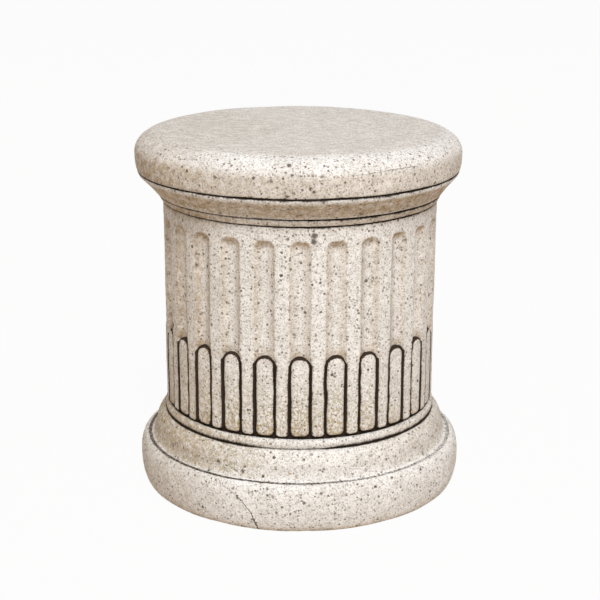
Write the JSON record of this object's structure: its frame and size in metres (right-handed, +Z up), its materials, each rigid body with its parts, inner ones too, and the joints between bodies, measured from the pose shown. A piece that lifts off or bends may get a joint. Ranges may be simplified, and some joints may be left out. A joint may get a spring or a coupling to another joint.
{
  "type": "doric column",
  "caption": "Low round column cast in stone, with cabled flutes, a swelling base and a thick flat cap; stands on its own as a plinth or plant stand.",
  "frame": {"origin": "middle of the underside, on the ground", "axes": "+Z up along the axis of the column; the middle of a flute faces -Y, the front; +X is to the right seen from the front"},
  "size_m": [0.373, 0.3738, 0.4091],
  "materials": {
    "cast_stone": "matte, finely pitted, with dark patina in the grooves"
  },
  "bodies": {
    "root": {"column": "cast_stone"}
  },
  "joints": []
}
